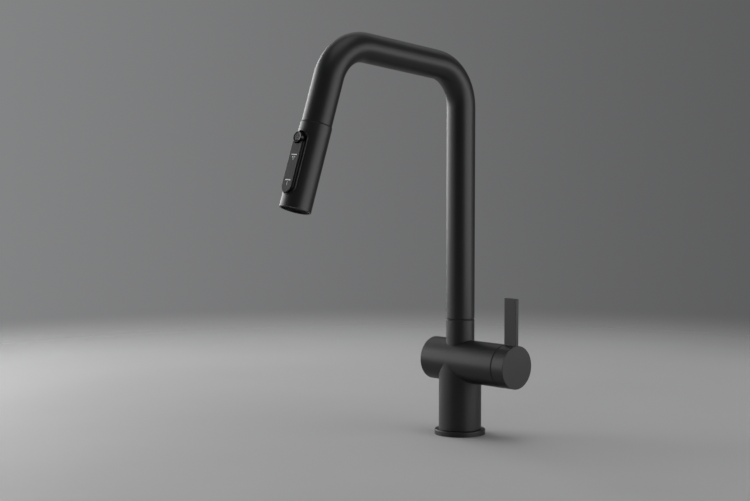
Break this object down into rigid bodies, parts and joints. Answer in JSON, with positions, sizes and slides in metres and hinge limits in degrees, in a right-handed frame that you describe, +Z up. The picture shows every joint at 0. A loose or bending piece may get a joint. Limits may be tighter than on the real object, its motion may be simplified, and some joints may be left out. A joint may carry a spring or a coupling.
{
  "type": "pull-down kitchen faucet",
  "caption": "Tall angular kitchen faucet with a swivelling spout of bent tube, a pull-down spray head with a button and a rocker, and a flat side lever on a cross barrel.",
  "frame": {"origin": "centre of the base on the deck's top face", "axes": "+Z up along the riser, -Y to the front, the way the spout points, +X to the lever's side"},
  "size_m": [0.1092, 0.2569, 0.4805],
  "materials": {
    "black_coat": "fine satin black coating",
    "brass": "turned, dull",
    "steel": "brushed",
    "rubber": "matte",
    "dark_plastic": "fine satin grain",
    "gloss_black": "glossy",
    "white_print": "matte white print",
    "hose_braid": "braided nylon sleeve",
    "magnet": "dull ceramic magnet"
  },
  "bodies": {
    "body": {"body_casting": "black_coat", "swivel_collar": "black_coat", "base_ring": "black_coat", "base_gasket": "rubber", "shank": "brass", "deck_washer": "rubber", "clamp_washer": "steel", "mounting_nut": "brass", "barrel_end_plug": "black_coat", "end_plug_o_ring": "rubber", "cartridge_shell": "brass", "cartridge_o_rings": "rubber", "retainer_nut": "brass", "ring_circlip": "steel", "glide_bush": "dark_plastic", "slip_washer": "dark_plastic", "stop_screw": "steel"},
    "lever_ring": {"pivot_ring": "brass", "pivot_pin": "steel"},
    "lever": {"lever_hub": "black_coat", "lever_blade": "black_coat"},
    "stem": {"cartridge_stem": "brass", "stem_o_rings": "rubber"},
    "spout": {"spout_tube": "black_coat", "spout_spigot": "brass", "dock_sleeve": "dark_plastic", "dock_magnet": "magnet", "hose": "hose_braid", "hose_coupling": "brass", "coupling_o_ring": "rubber"},
    "hose_end": {"hose_stem": "steel", "hose_ferrule": "steel"},
    "spray_head": {"head_shell": "black_coat", "head_core": "dark_plastic", "keeper_ring": "steel", "swivel_nut": "brass", "nut_washer": "rubber", "check_valve": "dark_plastic", "panel_bezel": "dark_plastic", "rocker_pin": "steel", "button_spring": "steel", "spray_face": "dark_plastic", "aerator": "dark_plastic", "face_ring": "dark_plastic", "face_seal": "rubber"},
    "pause_button": {"pause_button": "gloss_black", "button_stem": "steel"},
    "mode_rocker": {"mode_rocker": "dark_plastic", "mode_marks": "white_print"},
    "diverter": {"diverter_spool": "dark_plastic", "spool_o_rings": "rubber"}
  },
  "joints": [
    {"name": "swivel", "type": "hinge", "parent": "body", "child": "spout", "pos_m": [0, 0, 0.1138], "axis": [0, 0, 1], "range_deg": [-70, 70]},
    {"name": "pull_out", "type": "slide", "parent": "spout", "child": "hose_end", "axis": [0, -0.3256, -0.9455], "range_m": [0, 0.2], "deforming": ["hose"]},
    {"name": "head_turn", "type": "hinge", "parent": "hose_end", "child": "spray_head", "pos_m": [0, -0.16419, 0.38098], "axis": [0, -0.3256, -0.9455], "continuous": true},
    {"name": "pause_press", "type": "slide", "parent": "spray_head", "child": "pause_button", "axis": [0, 0.9455, -0.3256], "range_m": [0, 0.0015], "stiffness_N_per_m": 1000, "springref_m": -0.001, "deforming": ["button_spring"]},
    {"name": "mode_rock", "type": "hinge", "parent": "spray_head", "child": "mode_rocker", "pos_m": [0, -0.21674, 0.26581], "axis": [1, 0, 0], "range_deg": [-5, 5]},
    {"name": "diverter_slide", "type": "slide", "parent": "spray_head", "child": "diverter", "axis": [0, -0.3256, -0.9455], "range_m": [-0.0008, 0.0008]},
    {"name": "temperature", "type": "hinge", "parent": "body", "child": "lever_ring", "pos_m": [0, 0, 0.0728], "axis": [1, 0, 0], "range_deg": [-45, 45]},
    {"name": "flow", "type": "hinge", "parent": "lever_ring", "child": "lever", "pos_m": [0.061, 0, 0.0544], "axis": [0, 1, 0], "range_deg": [0, 15]},
    {"name": "stem_pull", "type": "slide", "parent": "lever_ring", "child": "stem", "axis": [1, 0, 0], "range_m": [0, 0.005]}
  ],
  "couplings": [
    {"joint": "diverter_slide", "follows": "mode_rock", "m_per_rad": -0.009},
    {"joint": "stem_pull", "follows": "flow", "m_per_rad": 0.0184}
  ]
}
